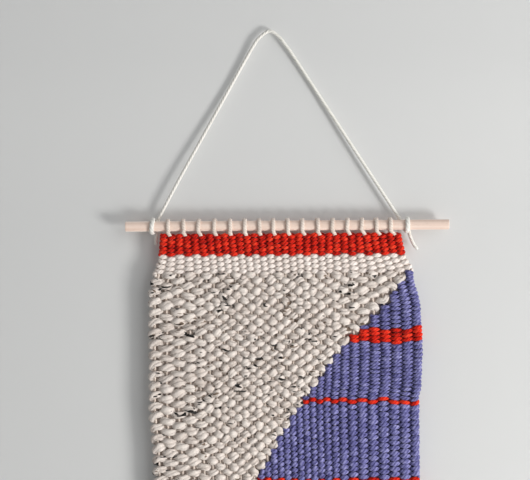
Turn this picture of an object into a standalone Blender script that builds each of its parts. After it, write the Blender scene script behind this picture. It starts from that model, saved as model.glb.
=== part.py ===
"""A small woven tapestry that hangs from a wooden dowel on a cotton cord.

Metres, +Z up, +X to the viewer's right, +Y towards the wall. The origin is the underside of
the cord's bend, where it rests on the wall hook. Four bodies, each under its own empty:
the hanger (cord and hitches), the dowel, the cloth (warp loops and woven areas) and the
fringe (knotted warp ends).
"""

import math

import bmesh
import bpy
import numpy as np
from mathutils import Vector

# ---------------------------------------------------------------- driving dimensions
GAP = 0.0003                    # clearance between pieces that touch

DOWEL_DIAMETER = 0.009525       # three eighths of an inch
DOWEL_LENGTH = 0.3048           # one foot
DOWEL_CENTRE = Vector((0.0154, 0.0, -0.1816))
DOWEL_SIDES = 40
DOWEL_EDGE = 0.0005             # sanded edge at each end

CORD_DIAMETER = 0.0033
CORD_STEP = 0.0085              # spacing of the tube's points on the long strands
HITCH_STEP = 0.0036             # and round the dowel

WARP_DIAMETER = 0.0028
WARP_LOOPS = 16                 # each loop is two warps, so the cloth has 32
WARP_SPREAD = 0.0034            # how far each leg of a loop stands from its middle
FIRST_LOOP_X = -0.0970
LAST_LOOP_X = 0.1123
LOOP_DRIFT = 0.0022             # the middle loops stand this far right of even spacing
LOOP_BUNCHING = 0.0013          # and are pushed to and fro by this much by hand
LOOPS_PER_BUNCH = 10
FIRST_BUNCH = 3.5               # the loop number that the first bunch gathers round
LOOP_ANGLES = range(-150, -391, -30)    # degrees round the dowel, from front to back
LEG_DEPTH = 0.0011              # each leg enters the cloth before or behind its middle
LEG_STRAIGHT = 0.0012           # the last stretch goes straight down into the cloth
SHOULDER_DROP = 0.0063          # below the dowel's middle, a leg turns in to the warps' plane
SHOULDER_DEPTH = 0.0038
SHOULDER_SPREAD = 0.45          # the share of WARP_SPREAD that a leg has reached there

CLOTH_TOP = -0.1905
HEADING_BOTTOM = -0.2091
CREAM_BOTTOM = -0.2254
CLOTH_BOTTOM = -0.5980
FINE_THICKNESS = 0.0060         # heading, cream band, blue areas and stripes
TWEED_THICKNESS = 0.0090        # the thick flecked yarn

WIDE_STRIPE = 0.0132
THIN_STRIPE = 0.0066
STRIPES = (                     # name, top edge, height, from the top down
    ("red_stripe_1", -0.2783, WIDE_STRIPE),
    ("red_stripe_2", -0.3441, THIN_STRIPE),
    ("red_stripe_3", -0.4202, WIDE_STRIPE),
    ("red_stripe_4", -0.4895, THIN_STRIPE),
    ("red_stripe_5", -0.5530, WIDE_STRIPE),
)

# The cloth's two long edges, as (height, x) from the top down.
LEFT_EDGE = (
    (-0.1905, -0.1046), (-0.2091, -0.1062), (-0.2254, -0.1094), (-0.2420, -0.1145),
    (-0.3450, -0.1147), (-0.4200, -0.1105), (-0.5000, -0.1115), (-0.5980, -0.1085),
)
RIGHT_EDGE = (
    (-0.1905, 0.1234), (-0.2091, 0.1268), (-0.2254, 0.1330), (-0.2620, 0.1397),
    (-0.3000, 0.1420), (-0.3450, 0.1385), (-0.4200, 0.1390), (-0.5980, 0.1375),
)

# The diagonal where blue meets tweed: it leaves the right edge at a flat angle, steepens
# over its upper stretch, and then runs straight to the bottom left corner.
DIAGONAL_TOP = (0.1284, -0.2271)
DIAGONAL_FIRST_SLOPE = 0.95
DIAGONAL_LAST_SLOPE = 0.515
DIAGONAL_BEND_DEPTH = 0.1941

KNOT_RADIUS = 0.0036
KNOT_DROP = 0.0080              # from the cloth's lower edge to the middle of a knot
END_DIAMETER = 0.0022
END_START = 0.0016              # clearance that lets the fringe swing under the cloth
END_LENGTH = 0.0560
END_LENGTH_VARIES = 0.0035      # hand-cut ends are longer or shorter by this
END_SPREAD = 0.0018             # half the distance between a pair's two ends
END_BULGE = 0.0006              # they stand this much wider half way down
END_LEAN = 0.0016               # and hang a little to one side
KNOT_SPREAD = 0.0013            # half the distance between the two warps inside a knot
KNOT_TAIL = 0.010               # below the knot, the ends have parted after this
FRINGE_MARGIN = 0.0075          # from the cloth's lower corners to the first and last knot

RED = (0.50, 0.030, 0.016)
CREAM = (0.66, 0.56, 0.50)
TWEED = (0.50, 0.43, 0.38)
BLUE = (0.115, 0.110, 0.270)
COTTON = (0.80, 0.74, 0.66)
WHITE_CORD = (0.82, 0.82, 0.78)
WOOD = (0.80, 0.65, 0.50)


# ---------------------------------------------------------------- scene and materials
def clear_scene():
    for item in list(bpy.data.objects):
        bpy.data.objects.remove(item, do_unlink=True)


def collection(name):
    made = bpy.data.collections.new(name)
    bpy.context.scene.collection.children.link(made)
    return made


def material(name, colour, roughness):
    made = bpy.data.materials.new(name)
    made.use_nodes = True
    shader = made.node_tree.nodes["Principled BSDF"]
    shader.inputs["Base Color"].default_value = (*colour, 1.0)
    shader.inputs["Roughness"].default_value = roughness
    shader.inputs["Metallic"].default_value = 0.0
    made.diffuse_color = (*colour, 1.0)
    return made


def pivot(name, place, parts):
    """The empty that carries one body, on that body's joint axis."""
    empty = bpy.data.objects.new(name, None)
    empty.empty_display_size = 0.02
    empty.location = place
    parts.objects.link(empty)
    return empty


def mount_on(item, body, parts, finish):
    parts.objects.link(item)
    item.parent = body
    item.data.materials.append(finish)
    return item


# ---------------------------------------------------------------- shapes
def smooth_route(points, step):
    """Points every `step` along a smooth curve that passes through the route's points."""
    knots = [Vector(p) for p in points]
    knots = [2 * knots[0] - knots[1], *knots, 2 * knots[-1] - knots[-2]]
    fine = []
    for a, b, c, d in zip(knots, knots[1:], knots[2:], knots[3:]):
        for t in np.linspace(0.0, 1.0, 24, endpoint=False):
            fine.append(0.5 * (2 * b + (c - a) * t + (2 * a - 5 * b + 4 * c - d) * t ** 2
                               + (3 * b - a - 3 * c + d) * t ** 3))
    fine.append(knots[-2])
    fine = np.array(fine)
    along = np.concatenate([[0.0], np.cumsum(np.linalg.norm(np.diff(fine, axis=0), axis=1))])
    stops = np.linspace(0.0, along[-1], max(2, round(along[-1] / step)) + 1)
    return [Vector(np.interp(s, along, fine[:, axis]) for axis in range(3)) for s in stops]


def tube(name, points, diameter):
    """A round string along the points: a curve object with filled caps."""
    shape = bpy.data.curves.new(name, "CURVE")
    shape.dimensions = "3D"
    shape.bevel_depth = diameter / 2
    shape.bevel_resolution = 2
    shape.use_fill_caps = True
    spline = shape.splines.new("POLY")
    spline.points.add(len(points) - 1)
    for point, place in zip(spline.points, points):
        point.co = (*place, 1.0)
    return bpy.data.objects.new(name, shape)


def panel(name, outline, thickness):
    """A flat upright slab from an (x, z) outline, centred on the warp's plane."""
    shape = bpy.data.curves.new(name, "CURVE")
    shape.dimensions = "2D"
    shape.fill_mode = "BOTH"
    shape.extrude = thickness / 2
    spline = shape.splines.new("POLY")
    spline.points.add(len(outline) - 1)
    for point, (x, z) in zip(spline.points, outline):
        point.co = (x, z, 0.0, 1.0)
    spline.use_cyclic_u = True
    item = bpy.data.objects.new(name, shape)
    item.rotation_euler.x = math.radians(90)
    return item


def as_mesh(item):
    """A mesh copy of a curve object, welded so that it can be joined to another."""
    bpy.context.view_layer.update()
    evaluated = item.evaluated_get(bpy.context.evaluated_depsgraph_get())
    mesh = bpy.data.meshes.new_from_object(evaluated)
    work = bmesh.new()
    work.from_mesh(mesh)
    bmesh.ops.remove_doubles(work, verts=work.verts, dist=0.00001)
    work.to_mesh(mesh)
    work.free()
    made = bpy.data.objects.new(item.name + "_mesh", mesh)
    made.matrix_world = item.matrix_world.copy()
    bpy.data.objects.remove(item, do_unlink=True)
    return made


# ---------------------------------------------------------------- the cloth's outline
def left_x(z):
    heights, places = zip(*LEFT_EDGE)
    return float(np.interp(-z, [-h for h in heights], places))


def right_x(z):
    heights, places = zip(*RIGHT_EDGE)
    return float(np.interp(-z, [-h for h in heights], places))


def diagonal_x(z):
    x, top = DIAGONAL_TOP
    depth = top - z
    bent = min(max(depth, 0.0), DIAGONAL_BEND_DEPTH)
    steepening = (DIAGONAL_FIRST_SLOPE - DIAGONAL_LAST_SLOPE) / DIAGONAL_BEND_DEPTH
    return x - DIAGONAL_FIRST_SLOPE * bent + steepening * bent ** 2 / 2 \
        - DIAGONAL_LAST_SLOPE * max(depth - DIAGONAL_BEND_DEPTH, 0.0)


def tweed_right(z):
    return diagonal_x(z) - GAP / 2


def blue_left(z):
    return diagonal_x(z) + GAP / 2


def area_outline(top, bottom, left, right, side_step=0.030):
    """Corner to corner round one colour area, from its left and right edge functions."""
    count = max(1, round((top - bottom) / side_step))
    heights = [top + (bottom - top) * k / count for k in range(count + 1)]
    down = [(left(z), z) for z in heights]
    up = [(right(z), z) for z in reversed(heights)]
    return down + up


# ---------------------------------------------------------------- hanger
def round_dowel(angle, radius, x):
    """A place beside the dowel: angle 0 is behind it, 90 above, 180 in front, 270 below."""
    turn = math.radians(angle)
    return (x, radius * math.cos(turn), DOWEL_CENTRE.z + radius * math.sin(turn))


def make_hanger(parts, body, finish):
    lap = DOWEL_DIAMETER / 2 + GAP + CORD_DIAMETER / 2     # the cord's middle on the dowel
    strand_foot = -0.1770
    strands = (
        (-0.1076, lap, strand_foot), (-0.0867, 0.0053, -0.1380), (-0.0652, 0.0038, -0.1000),
        (-0.0437, 0.0024, -0.0620), (-0.0290, 0.0014, -0.0360), (-0.0153, 0.0004, -0.0123),
        (-0.0094, 0.0001, -0.0044), (0.0, 0.0, CORD_DIAMETER / 2), (0.0085, 0.0001, -0.0036),
        (0.0147, 0.0004, -0.0111), (0.0225, 0.0009, -0.0223), (0.0469, 0.0024, -0.0600),
        (0.0728, 0.0038, -0.1000), (0.0974, 0.0053, -0.1380), (0.1226, lap, strand_foot),
    )
    hitch_top = strand_foot - GAP
    left = (
        (-0.1078, lap, hitch_top), round_dowel(0, lap, -0.1100), round_dowel(-45, lap, -0.1109),
        round_dowel(-90, lap, -0.1117), round_dowel(-135, lap, -0.1121),
        round_dowel(-180, lap, -0.1119), round_dowel(-225, lap, -0.1112),
        round_dowel(-265, lap, -0.1108), (-0.1114, 0.0048, -0.1744), (-0.1111, 0.0086, -0.1753),
        (-0.1099, 0.0105, -0.1772), (-0.1091, 0.0105, -0.1815), (-0.1089, 0.0096, -0.1870),
        (-0.1089, 0.0084, -0.1930), (-0.1089, 0.0076, -0.1995),
    )
    right = (
        (0.1228, lap, hitch_top), round_dowel(0, lap, 0.1254), round_dowel(-45, lap, 0.1267),
        round_dowel(-90, lap, 0.1277), round_dowel(-135, lap, 0.1283),
        round_dowel(-180, lap, 0.1285), round_dowel(-225, lap, 0.1285),
        round_dowel(-270, lap, 0.1287), round_dowel(-315, lap, 0.1293),
        round_dowel(-350, lap, 0.1298), (0.1303, 0.0064, -0.1868), (0.1318, 0.0053, -0.1930),
        (0.1350, 0.0044, -0.2005), (0.1388, 0.0040, -0.2051),
    )
    mount_on(tube("hanging_cord", smooth_route(strands, CORD_STEP), CORD_DIAMETER),
             body, parts, finish)
    mount_on(tube("left_hitch", smooth_route(left, HITCH_STEP), CORD_DIAMETER),
             body, parts, finish)
    mount_on(tube("right_hitch", smooth_route(right, HITCH_STEP), CORD_DIAMETER),
             body, parts, finish)


# ---------------------------------------------------------------- dowel
def make_dowel(parts, body, finish):
    mesh = bpy.data.meshes.new("dowel")
    work = bmesh.new()
    bmesh.ops.create_cone(work, cap_ends=True, segments=DOWEL_SIDES,
                          radius1=DOWEL_DIAMETER / 2, radius2=DOWEL_DIAMETER / 2,
                          depth=DOWEL_LENGTH)
    work.to_mesh(mesh)
    work.free()
    mesh.shade_smooth()
    mesh.set_sharp_from_angle(angle=math.radians(30))
    dowel = mount_on(bpy.data.objects.new("dowel", mesh), body, parts, finish)
    dowel.rotation_euler.y = math.radians(90)
    edge = dowel.modifiers.new("sanded_edge", "BEVEL")
    edge.width = DOWEL_EDGE
    edge.segments = 2
    edge.limit_method = "ANGLE"
    edge.angle_limit = math.radians(60)


# ---------------------------------------------------------------- cloth
def loop_x(index):
    """Where a warp loop sits on the dowel: even spacing, pushed about a little by hand."""
    along = index / (WARP_LOOPS - 1)
    even = FIRST_LOOP_X + (LAST_LOOP_X - FIRST_LOOP_X) * along
    middle = math.sin(math.pi * along)      # the end loops stay where they are
    bunch = math.cos(2 * math.pi * (index - FIRST_BUNCH) / LOOPS_PER_BUNCH)
    return even + (LOOP_DRIFT + LOOP_BUNCHING * bunch) * middle


def make_warp_loop(index, parts, body, finish):
    """One warp string over the dowel, its front and back legs spread to their two warps."""
    lap = DOWEL_DIAMETER / 2 + GAP + WARP_DIAMETER / 2
    x = loop_x(index)
    axis = DOWEL_CENTRE.z
    foot = CLOTH_TOP + GAP
    over = [round_dowel(angle, lap, x) for angle in LOOP_ANGLES]
    leg = ((WARP_SPREAD, LEG_DEPTH, foot), (WARP_SPREAD, LEG_DEPTH, foot + LEG_STRAIGHT),
           (WARP_SPREAD * SHOULDER_SPREAD, SHOULDER_DEPTH, axis - SHOULDER_DROP))
    front = [(x + aside, -deep, height) for aside, deep, height in leg]
    back = [(x - aside, deep, height) for aside, deep, height in reversed(leg)]
    points = [(px, py, pz - axis) for px, py, pz in front + over + back]
    mount_on(tube(f"warp_loop_{index + 1:02d}", points, WARP_DIAMETER), body, parts, finish)


def make_area(name, top, bottom, left, right, thickness, parts, body, finish):
    outline = area_outline(top, bottom, left, right)
    local = [(x, z - DOWEL_CENTRE.z) for x, z in outline]
    mount_on(panel(name, local, thickness), body, parts, finish)


def make_cloth(parts, body, finishes):
    for index in range(WARP_LOOPS):
        make_warp_loop(index, parts, body, finishes["cotton"])
    make_area("red_heading", CLOTH_TOP, HEADING_BOTTOM + GAP, left_x, right_x,
              FINE_THICKNESS, parts, body, finishes["red"])
    make_area("cream_band", HEADING_BOTTOM, CREAM_BOTTOM + GAP, left_x, right_x,
              FINE_THICKNESS, parts, body, finishes["cream"])
    make_area("tweed_field", CREAM_BOTTOM, CLOTH_BOTTOM, left_x, tweed_right,
              TWEED_THICKNESS, parts, body, finishes["tweed"])
    blue_top = CREAM_BOTTOM
    for number, (name, top, height) in enumerate(STRIPES, start=1):
        make_area(f"blue_field_{number}", blue_top, top + GAP, blue_left, right_x,
                  FINE_THICKNESS, parts, body, finishes["blue"])
        make_area(name, top, top - height + GAP, blue_left, right_x,
                  FINE_THICKNESS, parts, body, finishes["red"])
        blue_top = top - height
    make_area(f"blue_field_{len(STRIPES) + 1}", blue_top, CLOTH_BOTTOM, blue_left, right_x,
              FINE_THICKNESS, parts, body, finishes["blue"])


# ---------------------------------------------------------------- fringe
def warp_end_x(index):
    """The middle of a knotted pair of warps along the cloth's lower edge."""
    first = left_x(CLOTH_BOTTOM) + FRINGE_MARGIN
    last = right_x(CLOTH_BOTTOM) - FRINGE_MARGIN
    return first + (last - first) * index / (WARP_LOOPS - 1)


def make_warp_end(index, parts, body, finish):
    """Two warps, drawn together into one overhand knot, and the two ends below it."""
    x = warp_end_x(index)
    length = END_LENGTH + END_LENGTH_VARIES * math.sin(2.3 * index)     # uneven, not random
    lean = END_LEAN * math.sin(1.7 * index + 0.6)
    knot = bpy.data.meshes.new("knot")
    work = bmesh.new()
    bmesh.ops.create_uvsphere(work, u_segments=8, v_segments=6, radius=KNOT_RADIUS)
    bmesh.ops.translate(work, verts=work.verts, vec=(x, 0.0, -KNOT_DROP))
    work.to_mesh(knot)
    work.free()
    end = mount_on(bpy.data.objects.new(f"warp_end_{index + 1:02d}", knot), body, parts, finish)
    for side in (-1, 1):
        points = [
            (x + side * WARP_SPREAD, 0.0, -END_START),
            (x + side * KNOT_SPREAD, 0.0, -KNOT_DROP),
            (x + side * END_SPREAD, 0.0, -KNOT_DROP - KNOT_TAIL),
            (x + side * (END_SPREAD + END_BULGE) + lean / 2, 0.0, -KNOT_DROP - length / 2),
            (x + side * END_SPREAD + lean, 0.0, -KNOT_DROP - length),
        ]
        strand = as_mesh(linked(tube(f"strand_{index}_{side}", points, END_DIAMETER)))
        CUTTERS.objects.link(strand)
        strand.parent = body
        strand.hide_render = True
        strand.display_type = "WIRE"
        join = end.modifiers.new("strand", "BOOLEAN")
        join.operation = "UNION"
        join.solver = "EXACT"
        join.object = strand


def linked(item):
    """Put a curve in the scene so that it can be evaluated."""
    CUTTERS.objects.link(item)
    return item


# ---------------------------------------------------------------- assembly
clear_scene()
PARTS = collection("tapestry_wall_hanging")
CUTTERS = collection("cutters")

FINISHES = {
    "red": material("red_wool", RED, 0.95),
    "cream": material("cream_yarn", CREAM, 0.95),
    "tweed": material("flecked_yarn", TWEED, 0.95),
    "blue": material("blue_wool", BLUE, 0.95),
    "cotton": material("warp_cotton", COTTON, 0.9),
    "cord": material("white_cord", WHITE_CORD, 0.85),
    "wood": material("birch_wood", WOOD, 0.55),
}

make_hanger(PARTS, pivot("hanger", (0.0, 0.0, 0.0), PARTS), FINISHES["cord"])
make_dowel(PARTS, pivot("dowel_axis", DOWEL_CENTRE, PARTS), FINISHES["wood"])
make_cloth(PARTS, pivot("cloth_axis", (0.0, 0.0, DOWEL_CENTRE.z), PARTS), FINISHES)
FRINGE_BODY = pivot("fringe_axis", (0.0, 0.0, CLOTH_BOTTOM), PARTS)
for number in range(WARP_LOOPS):
    make_warp_end(number, PARTS, FRINGE_BODY, FINISHES["cotton"])
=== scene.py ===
# %% [markdown]
# # A woven wall hanging, yarn by yarn
#
# The real thing is a small tapestry: cotton warps hang in loops from a wooden dowel, thick wool
# is packed across them until the warps almost disappear, and a white cord holds the dowel up.
# You could fake the cloth with one flat sheet and a bump map, but the beads of wool, the holes
# between them and the stepped diagonal are real depth, and a light from the side shows it. So
# this lesson lays every pick of yarn as a tube, and lets one Geometry Nodes tree spin them all.

# %% Load the frame
import math

import bpy
import numpy as np
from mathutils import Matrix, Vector


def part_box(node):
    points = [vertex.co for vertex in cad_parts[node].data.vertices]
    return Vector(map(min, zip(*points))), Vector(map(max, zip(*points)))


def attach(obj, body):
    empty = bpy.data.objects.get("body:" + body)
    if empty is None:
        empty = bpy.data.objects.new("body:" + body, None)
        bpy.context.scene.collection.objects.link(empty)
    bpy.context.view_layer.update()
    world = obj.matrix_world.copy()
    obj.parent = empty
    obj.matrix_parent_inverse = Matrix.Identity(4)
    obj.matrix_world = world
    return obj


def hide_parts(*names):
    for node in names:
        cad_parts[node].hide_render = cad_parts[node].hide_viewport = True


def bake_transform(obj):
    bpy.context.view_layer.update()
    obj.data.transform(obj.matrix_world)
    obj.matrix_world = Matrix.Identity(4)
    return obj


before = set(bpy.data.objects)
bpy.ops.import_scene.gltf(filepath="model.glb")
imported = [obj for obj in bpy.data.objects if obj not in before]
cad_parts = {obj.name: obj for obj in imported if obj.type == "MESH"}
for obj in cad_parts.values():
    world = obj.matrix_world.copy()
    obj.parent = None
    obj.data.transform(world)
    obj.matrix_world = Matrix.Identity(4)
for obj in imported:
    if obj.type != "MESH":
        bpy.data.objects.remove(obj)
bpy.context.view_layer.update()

# %% [markdown]
# ## Where things are
#
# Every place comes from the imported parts' boxes, so the yarn lands exactly where the solids
# are. Only sizes that the boxes can't tell, such as the thickness of a string, are named here.

# %% Places and sizes
DOWEL_LOW, DOWEL_HIGH = (Vector(corner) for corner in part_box("dowel"))
DOWEL_RADIUS = (DOWEL_HIGH.z - DOWEL_LOW.z) / 2
DOWEL_Z = (DOWEL_HIGH.z + DOWEL_LOW.z) / 2

TOUCH = 0.0003                  # the gap that the parts keep where they touch
CLOTH_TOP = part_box("red_heading")[1][2]
HEADING_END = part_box("cream_band")[1][2]
CREAM_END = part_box("tweed_field")[1][2]
CLOTH_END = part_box("tweed_field")[0][2]

CORD_DIAMETER = 0.0033
WARP_RADIUS = 0.0011            # a warp, stretched inside the cloth
LOOP_WIDE, LOOP_THIN = 0.0021, 0.0011    # the same string, slack and pressed flat on the dowel
WARPS = 32

print("cloth from", round(CLOTH_TOP, 4), "to", round(CLOTH_END, 4))

# %% [markdown]
# The long edges bulge and pull in as a hand-woven edge does. Both are smooth curves through a
# few heights, read at any height with a cosine ease between them.

# %% The outline of the cloth
LEFT_EDGE = ((-0.1905, -0.1054), (-0.2091, -0.1066), (-0.2254, -0.1098), (-0.2420, -0.1145),
             (-0.3450, -0.1147), (-0.4200, -0.1108), (-0.5000, -0.1115), (-0.5980, -0.1085))
RIGHT_EDGE = ((-0.1905, 0.1234), (-0.2091, 0.1270), (-0.2254, 0.1342), (-0.2620, 0.1411),
              (-0.3000, 0.1424), (-0.3290, 0.1416), (-0.3450, 0.1390), (-0.4200, 0.1390),
              (-0.5980, 0.1375))
DIAGONAL_TOP = (0.1284, -0.2271)
DIAGONAL_FIRST_SLOPE = 0.95
DIAGONAL_LAST_SLOPE = 0.515
DIAGONAL_BEND_DEPTH = 0.1941


def eased(stops, z):
    """A value at height z, eased between (height, value) stops that run downwards."""
    heights = -np.array([stop[0] for stop in stops])
    values = np.array([stop[1] for stop in stops])
    down = np.clip(-np.asarray(z, float), heights[0], heights[-1])
    low = np.clip(np.searchsorted(heights, down, side="right") - 1, 0, len(heights) - 2)
    t = (down - heights[low]) / (heights[low + 1] - heights[low])
    return values[low] + (values[low + 1] - values[low]) * (0.5 - 0.5 * np.cos(math.pi * t))


def diagonal_x(z):
    """Where blue meets tweed: flat at first, then steeper, then straight."""
    depth = DIAGONAL_TOP[1] - z
    bent = min(max(depth, 0.0), DIAGONAL_BEND_DEPTH)
    steepening = (DIAGONAL_FIRST_SLOPE - DIAGONAL_LAST_SLOPE) / DIAGONAL_BEND_DEPTH
    return DIAGONAL_TOP[0] - DIAGONAL_FIRST_SLOPE * bent + steepening * bent ** 2 / 2 \
        - DIAGONAL_LAST_SLOPE * max(depth - DIAGONAL_BEND_DEPTH, 0.0)


# %% [markdown]
# ## Warps
#
# Thirty-two warps carry everything. They start evenly spread under the dowel, and the heavy
# weft then crowds the middle ones together and lets the outer ones drift apart, so the beads
# at the two sides are wide and those in the middle are small. One function says where warp
# number k runs at height z, also between two warps, and all the yarn reads it.

# %% Where each warp runs
EDGE_IN_TWEED = 0.0045          # from the left edge to the first warp
EDGE_IN_BLUE = 0.0042           # from the last warp to the right edge
CROWDING_START = -0.180
CROWDING_FULL = -0.262
SPREADING_START = -0.470        # towards the knots the warps stand evenly again
SPREADING_FULL = -0.590
SPREADING_SHARE = 0.9
LEFT_GAP, MIDDLE_GAP, RIGHT_GAP = 11.2, 6.5, 10.2    # only their proportions matter
LEFT_EASE, RIGHT_EASE = (0.06, 0.22), (0.66, 0.88)   # where across the cloth the gaps change
SWAY_WAVES = (0.031, 0.063, 0.117)                   # a warp wanders in three wavelengths
SWAY_REACH = 0.00022
SWAY_SHIFT = 2.1                                     # keeps the waves out of step
WARP_SWAY = np.random.default_rng(7).uniform(-1, 1, (WARPS + 2, len(SWAY_WAVES)))
RIPPLES = ((0.0006, 41, 23, 0.0), (0.0004, 83, -61, 1.3))    # reach, turn in x, in z, start
RIPPLES_START, RIPPLES_FULL = 0.01, 0.12             # below the cloth's top

# Places where the weaver's hand pulled the rows off level: x, z, reach across, reach down, lift.
PULLS = ((0.1420, -0.2860, 0.0130, 0.0160, 0.0040), (0.1200, -0.2850, 0.0250, 0.0160, -0.0014),
         (0.1270, -0.3470, 0.0090, 0.0100, -0.0030), (0.1050, -0.3460, 0.0060, 0.0080, 0.0012),
         (-0.0200, -0.3600, 0.0600, 0.0500, 0.0020), (0.0300, -0.2400, 0.0500, 0.0200, -0.0008))


def fade(start, end, t):
    """0 before start, 1 after end, smooth between."""
    t = np.clip((np.asarray(t, float) - start) / (end - start), 0, 1)
    return t * t * (3 - 2 * t)


def crowded_share():
    """How far across each warp stands once the weft has crowded the middle."""
    gap = (np.arange(WARPS - 1) + 0.5) / (WARPS - 1)
    gaps = MIDDLE_GAP + (LEFT_GAP - MIDDLE_GAP) * (1 - fade(*LEFT_EASE, gap)) \
        + (RIGHT_GAP - MIDDLE_GAP) * fade(*RIGHT_EASE, gap)
    return np.concatenate([[0.0], np.cumsum(gaps)]) / gaps.sum()


CROWDED = crowded_share()


def warp_x(k, z):
    """x of warp k (0 at the left, fractions allowed) at height z."""
    k = np.asarray(k, float)
    z = np.broadcast_to(np.asarray(z, float), k.shape)
    even = k / (WARPS - 1)
    amount = fade(-CROWDING_START, -CROWDING_FULL, -z) \
        * (1 - SPREADING_SHARE * fade(-SPREADING_START, -SPREADING_FULL, -z))
    share = even + (np.interp(k, np.arange(WARPS), CROWDED) - even) * amount
    left = eased(LEFT_EDGE, z) + EDGE_IN_TWEED
    right = eased(RIGHT_EDGE, z) - EDGE_IN_BLUE
    sway = 0.0
    for wave, length in enumerate(SWAY_WAVES):
        low = np.clip(np.floor(k).astype(int), 0, WARPS - 1)
        mix = np.clip(k - low, 0, 1)
        push = WARP_SWAY[low, wave] * (1 - mix) + WARP_SWAY[low + 1, wave] * mix
        sway = sway + push * np.sin(2 * math.pi * z / length + SWAY_SHIFT * wave)
    return left + (right - left) * share + SWAY_REACH * sway


def drift_z(x, z):
    """How far the beating of the weft has pushed a place up or down."""
    soft = sum(reach * np.sin(in_x * x + in_z * z + start) for reach, in_x, in_z, start in RIPPLES)
    soft = soft * fade(RIPPLES_START, RIPPLES_FULL, CLOTH_TOP - z)
    for at_x, at_z, wide, tall, lift in PULLS:
        soft = soft + lift * np.exp(-((x - at_x) / wide) ** 2 - ((z - at_z) / tall) ** 2)
    return soft


middle_row = warp_x(np.arange(WARPS), (CLOTH_TOP + CLOTH_END) / 2)
print("warp gaps in mm half way down:", np.round(np.diff(middle_row) * 1000, 1))

# %% [markdown]
# ## Laying the weft
#
# A weaver carries one long yarn to and fro: over a warp, under the next, round the edge warp,
# and back with overs and unders swapped. `lay_weft` walks that route and returns its points.
# Between warps the yarn is squeezed flat by its neighbours; over a warp it swells into a bead,
# so each point also carries how tall and how deep the yarn is there.

# %% A weft's route
ROW_MARGIN = 0.03               # the share of a row that is kept for each turn
TURN_SHARE = 0.012              # how far round the turn that margin is used
TURN_TALL, TURN_DEEP = 0.9, 1.1     # a turn's size against a bead's
LOOSE_LIMIT = 0.38              # a turn stands out by no more than this much of a warp gap
LOOSE_VARIES = 0.12
CREST_REACH = 0.15              # a swollen bead also stands further out
END_RISE = 0.4                  # the first and last ends turn away by this much of a pitch


def lay_weft(top, bottom, picks, above, span, feel, seed):
    """The route of one colour's yarn: points, half sizes, row, share of the row and tone.

    span(z) gives the first and last warp that the row at height z reaches; `above` is how many
    picks the weaver has laid already, so that overs and unders go on swapping.
    """
    rng = np.random.default_rng(seed)
    tone, lift, size, sway = rng.uniform(-1, 1, (4, picks + 2, WARPS + 2))
    pitch = (top - bottom) / picks
    rows = [top - pitch * (p + 0.5) for p in range(picks)]
    out = {name: [] for name in ("place", "tall", "deep", "wide", "row", "share", "tone")}

    def add(place, tall, deep, row, share, shade):
        for name, value in zip(out, (place, tall, deep, deep, row, share, shade)):
            out[name].append(value)

    def turn(warp, outward, start_z, end_z, start_y, row):
        """The half turn round the outside of an edge warp, from one row to the next."""
        angle = np.linspace(0, math.pi, feel["turn"] + 2)[1:-1]
        gap = float(warp_x(max(warp, 1), start_z) - warp_x(max(warp, 1) - 1, start_z))
        loose = min(feel["round"], LOOSE_LIMIT * gap) * (1 + LOOSE_VARIES * rng.uniform(-1, 1))
        x = float(warp_x(warp, (start_z + end_z) / 2)) + outward * loose * np.sin(angle)
        height = start_z + (end_z - start_z) * angle / math.pi
        place = np.stack([x, start_y * np.cos(angle), height + drift_z(x, height)], axis=1)
        even = np.ones(len(angle))
        side = 1 - ROW_MARGIN / 2 if outward > 0 else ROW_MARGIN / 2
        add(place, pitch * feel["bead"] * TURN_TALL * even, feel["depth"] * TURN_DEEP * even,
            np.clip(row + (angle > math.pi / 2), 0, picks - 1).astype(float),
            side + outward * TURN_SHARE * np.sin(angle), rng.uniform(-1, 1) * even)

    for p, z in enumerate(rows):
        first, last = span(z)
        count = max(1, round((last - first) * feel["steps"]))
        q = np.linspace(first, last, count + 1)
        if p % 2:
            q = q[::-1]
        phase = math.pi * (q + p + above)
        swing = np.cos(phase)
        crest = np.abs(swing)
        near = np.clip(np.rint(q).astype(int), 0, WARPS)
        swell = 1 + feel["uneven"] * size[p, near] * crest
        x = warp_x(q, z)
        lean = feel["slant"] + feel["restless"] * sway[p, near]
        height = z + lean * np.sin(phase)
        height = height + feel["jolt"] * np.interp(q, np.arange(WARPS + 2), lift[p])
        y = -feel["reach"] * np.sign(swing) * crest ** feel["snap"] \
            * (1 - CREST_REACH + CREST_REACH * swell)
        tall = pitch * (feel["waist"] + (feel["bead"] - feel["waist"]) * crest ** feel["full"])
        tall = tall * swell
        deep = feel["depth"] * (feel["thin"] + (1 - feel["thin"]) * crest) * swell
        share = ROW_MARGIN + (1 - 2 * ROW_MARGIN) * (q - first) / max(last - first, 1)
        place = np.stack([x, y, height + drift_z(x, height)], axis=1)
        if p == 0:
            turn(first, -1, z + END_RISE * pitch, z, -y[0], -1)
        add(place, tall, deep, np.full(len(q), float(p)), share, tone[p, near])
        end_z = rows[p + 1] if p + 1 < picks else z - END_RISE * pitch
        turn(last if p % 2 == 0 else first, 1 if p % 2 == 0 else -1, z, end_z, y[-1], p)
    return {name: np.concatenate(value) for name, value in out.items()}


# %% [markdown]
# Three yarns handle differently. The fine wool packs down hard and hides the warps. The cream
# is as fine but lies flatter. The tweed is a thick, lumpy yarn that stands off the warps, so
# each warp shows as a pale line between two beads.
#
# `steps` and `turn` count the points from warp to warp and round an edge; `reach` and `round`
# say how far the yarn swings out of the cloth and past an edge; `bead` and `waist` are its
# height over a warp and between two, in pitches; `depth` and `thin` are the same for its depth.
# `snap` and `full` shape the curve between, and the last four are the unevenness of a hand.

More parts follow.
